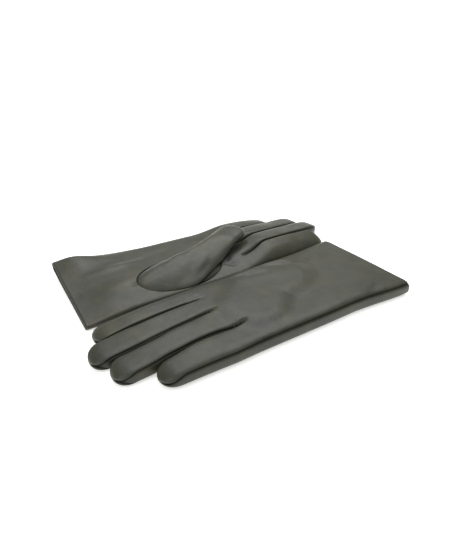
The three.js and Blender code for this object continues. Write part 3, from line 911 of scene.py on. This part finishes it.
def feed(tree, made, inputs):
    """Gives each socket of a node a value, or links it to the output that feeds it."""
    for key, value in inputs.items():
        if isinstance(value, bpy.types.NodeSocket):
            tree.links.new(value, made.inputs[key])
        else:
            made.inputs[key].default_value = value


def node(tree, kind, inputs=None, **settings):
    made = tree.nodes.new(kind)
    for key, value in settings.items():
        setattr(made, key, value)
    feed(tree, made, inputs or {})
    return made


def maths(tree, operation, first, second):
    return node(tree, "ShaderNodeMath", {0: first, 1: second}, operation=operation).outputs[0]


def noise(tree, place, size, **more):
    """Noise with features of a size in metres."""
    named = {key.replace("_", " "): value for key, value in more.items()}
    return node(tree, "ShaderNodeTexNoise", {"Vector": place, "Scale": 1 / size, **named}).outputs["Fac"]


def bump(tree, height, strength, distance, **below):
    """A bumpy normal, on top of another one if that is given as Normal."""
    return node(tree, "ShaderNodeBump", {"Height": height, "Strength": strength, "Distance": distance,
                                         **below}).outputs["Normal"]


def ramp(tree, factor, stops):
    """A colour ramp from (position, hex colour) stops."""
    made = node(tree, "ShaderNodeValToRGB", {"Fac": factor})
    while len(made.color_ramp.elements) < len(stops):
        made.color_ramp.elements.new(0.5)
    for element, (position, code) in zip(made.color_ramp.elements, stops):
        element.position = position
        element.color = linear(code)
    return made.outputs["Color"]


def new_material(name):
    """A material, its nodes, its shader, and the place in the piece's own metres."""
    material = bpy.data.materials.new(name)
    material.use_nodes = True
    tree = material.node_tree
    place = node(tree, "ShaderNodeTexCoord").outputs["Object"]
    return material, tree, tree.nodes["Principled BSDF"], place


def nappa(name, dark, base, light, roughness):
    """Sheepskin nappa: full grain, dyed through and lightly finished, so it has a soft satin sheen.

    Cloudy dye over 40 and 12 mm, creases about 6 mm apart, and pebbled grain 0.9 mm across, drawn a
    little coarser than the real half millimetre so that it shows. Shade is painted into the seams:
    the colour and the reflection are darkened near them.
    """
    material, tree, shader, place = new_material(name)
    cloud = noise(tree, place, 0.040, Detail=3.0, Roughness=0.55, Distortion=0.4)
    patch = noise(tree, place, 0.012, Detail=2.0)
    shade = maths(tree, "MULTIPLY", maths(tree, "ADD", cloud, patch), 0.5)
    colour = ramp(tree, shade, ((0.36, dark), (0.5, base), (0.64, light)))
    # painted shade: colour and reflection darken towards the seams, standing in for the shadow in their
    # grooves
    seam = node(tree, "ShaderNodeAttribute", attribute_name="seam").outputs["Fac"]
    painted_seam_shade = node(tree, "ShaderNodeMapRange", {"Value": seam, "From Min": 0.1, "From Max": 1.1,
                                             "To Min": 0.12, "To Max": 1.0}).outputs["Result"]
    shaded = node(tree, "ShaderNodeMix", {0: 1.0, 6: colour, 7: painted_seam_shade}, data_type="RGBA",
                  blend_type="MULTIPLY").outputs[2]
    grain = node(tree, "ShaderNodeTexVoronoi", {"Vector": place, "Scale": 1 / 0.0009},
                 feature="SMOOTH_F1").outputs["Distance"]
    crease = noise(tree, place, 0.006, Detail=4.0, Roughness=0.6, Distortion=0.8)
    coarse = bump(tree, crease, 0.35, 0.0005)
    worn = node(tree, "ShaderNodeMapRange", {"Value": crease, "From Min": 0.3, "From Max": 0.7,
                                             "To Min": roughness - 0.06, "To Max": roughness + 0.07})
    feed(tree, shader, {
        "Base Color": shaded, "Normal": bump(tree, grain, 0.25, 0.00008, Normal=coarse),
        "Roughness": worn.outputs["Result"], "Specular IOR Level": maths(tree, "MULTIPLY", painted_seam_shade, 0.34),
        "IOR": 1.5, "Sheen Weight": 0.08, "Sheen Roughness": 0.5, "Sheen Tint": linear("a8a898"),
    })
    return material


def brushed_knit(name, code):
    """Brushed acrylic knit: matt, with loops 1.4 mm apart in rows, softened by its nap."""
    material, tree, shader, place = new_material(name)
    rows = node(tree, "ShaderNodeTexWave", {"Vector": place, "Scale": 1 / (0.0014 * FULL), "Distortion": 3.0,
                                            "Detail": 2.0, "Detail Scale": 2.0}, bands_direction="Y")
    height = maths(tree, "ADD", rows.outputs["Fac"], noise(tree, place, 0.0008, Detail=3.0))
    shade = maths(tree, "MULTIPLY", height, 0.5)
    feed(tree, shader, {
        "Base Color": ramp(tree, shade, ((0.25, "1a1a19"), (0.75, code))),
        "Normal": bump(tree, height, 0.6, 0.0004), "Roughness": 0.92, "Sheen Weight": 0.4,
    })
    return material


def sewing_thread(name, code):
    """Twisted polyester thread: slightly glossy, with a twist every 0.6 mm."""
    material, tree, shader, place = new_material(name)
    twist = node(tree, "ShaderNodeTexWave", {"Vector": place, "Scale": 1 / (0.0006 * FULL)},
                 bands_direction="DIAGONAL").outputs["Fac"]
    feed(tree, shader, {"Base Color": ramp(tree, twist, ((0.2, "33332f"), (0.8, code))),
                        "Normal": bump(tree, twist, 0.5, 0.0001), "Roughness": 0.5})
    return material


def opal_acrylic(name):
    """A lit table top of white acrylic: near white and matt, glowing a little from beneath."""
    material, tree, shader, place = new_material(name)
    cloud = node(tree, "ShaderNodeTexNoise", {"Vector": place, "Scale": 3.0}).outputs["Fac"]
    feed(tree, shader, {"Base Color": ramp(tree, cloud, ((0.3, "f6f6f5"), (0.7, "fbfbfa"))),
                        "Roughness": 0.9, "Emission Color": linear("ffffff"), "Emission Strength": 0.5})
    return material


def dress(piece, material):
    piece.data.materials.clear()
    piece.data.materials.append(material)


SKIN = nappa("sheepskin_nappa_charcoal", "2b2d27", "31332a", "3b3a2d", 0.35)
# a darker copy of the same leather for the side walls: painted shade on the sides that face away from the
# light
SHADED_WALL_SKIN = nappa("sheepskin_nappa_side_walls", "262822", "2c2d25", "393729", 0.38)
FACING_SKIN = nappa("sheepskin_nappa_facing", "262822", "2b2c25", "35352a", 0.44)
KNIT = brushed_knit("brushed_acrylic_knit", "2e2e2c")
THREAD = sewing_thread("polyester_thread_grey", "5c5c54")

for glove in GLOVES:
    dress(trank(glove), SKIN)
    for strip in fingers(glove):
        dress(strip, SHADED_WALL_SKIN if "side_wall" in strip.name else SKIN)
    thumb_leather, thumb_lining = thumb_pieces(glove)
    dress(thumb_leather, SKIN)
    dress(thumb_lining, KNIT)
    dress(inner_tube(glove, "cuff_facing_leather", 2.6, FACING_DEPTH, 1.15, 0.5,
                     f"{glove.name}_cuff_facing"), FACING_SKIN)
    dress(inner_tube(glove, "hand_lining_knit", FACING_DEPTH - 2.5, 138, 1.75, 0.4,
                     f"{glove.name}_hand_lining"), KNIT)
    for finger in FINGERS:
        dress(finger_lining(glove, finger), KNIT)
    dress(fork_stitches(glove), THREAD)


# ---------------------------------------------------------------- table, light and camera
def table_top(size):
    """A flat square grid at the height that the gloves lie on, centred beneath them."""
    count = 9
    line = np.linspace(-size / 2, size / 2, count)
    x, y = np.meshgrid(line, line, indexing="ij")
    index = np.arange(count ** 2).reshape(count, count)
    faces = np.stack([index[:-1, :-1], index[1:, :-1], index[1:, 1:], index[:-1, 1:]], -1).reshape(-1, 4)
    top = make_mesh("table_top", np.stack([x, y, 0 * x], -1).reshape(-1, 3), faces)
    dress(top, opal_acrylic("opal_acrylic_table_top"))


def soft_light(name, place, size, power_watts):
    """A square softbox aimed at the gloves."""
    light = bpy.data.lights.new(name, "AREA")
    light.shape = "SQUARE"
    light.size = size
    light.energy = power_watts
    lamp = bpy.data.objects.new(name, light)
    bpy.context.scene.collection.objects.link(lamp)
    look_at(lamp, place, (0, 0, 0))


def look_at(thing, place, aim):
    """Stands thing at a place with its -Z towards aim and its Y as upright as can be."""
    back = np.array(place, float) - np.array(aim, float)
    back = back / np.linalg.norm(back)
    side = np.cross((0, 0, 1.0), back)
    side = side / np.linalg.norm(side)
    up = np.cross(back, side)
    matrix = np.eye(4)
    matrix[:3, :3] = np.stack([side, up, back], axis=1)
    matrix[:3, 3] = place
    thing.matrix_world = Matrix(matrix.tolist())


def studio_room():
    """A white room, bright low down and overhead and greyer halfway up its walls."""
    room = bpy.data.worlds.new("studio")
    room.use_nodes = True
    tree = room.node_tree
    direction = node(tree, "ShaderNodeTexCoord").outputs["Generated"]
    upward = node(tree, "ShaderNodeSeparateXYZ", {"Vector": direction}).outputs["Z"]
    shade = ramp(tree, upward, ((0.14, "ffffff"), (0.27, "b0b1a7"), (0.62, "b0b1a7"), (0.95, "ffffff")))
    background = tree.nodes["Background"]
    tree.links.new(shade, background.inputs["Color"])
    background.inputs["Strength"].default_value = 1.05
    return room


table_top(12.0)
bpy.context.scene.world = studio_room()
bpy.context.scene.view_settings.view_transform = "Standard"
soft_light("overhead_softbox", (0.3, 0.45, 0.9), 0.9, 7)
soft_light("left_softbox", (-0.9, -0.3, 0.8), 0.8, 3.0)

camera_data = bpy.data.cameras.new("camera")
camera_data.sensor_width = 36
camera_data.lens = 29.34
camera = bpy.data.objects.new("camera", camera_data)
bpy.context.scene.collection.objects.link(camera)
look_at(camera, (-0.17026, -0.27278, 0.19975), (0.014638, 0.004368, 0.0))
bpy.context.scene.camera = camera
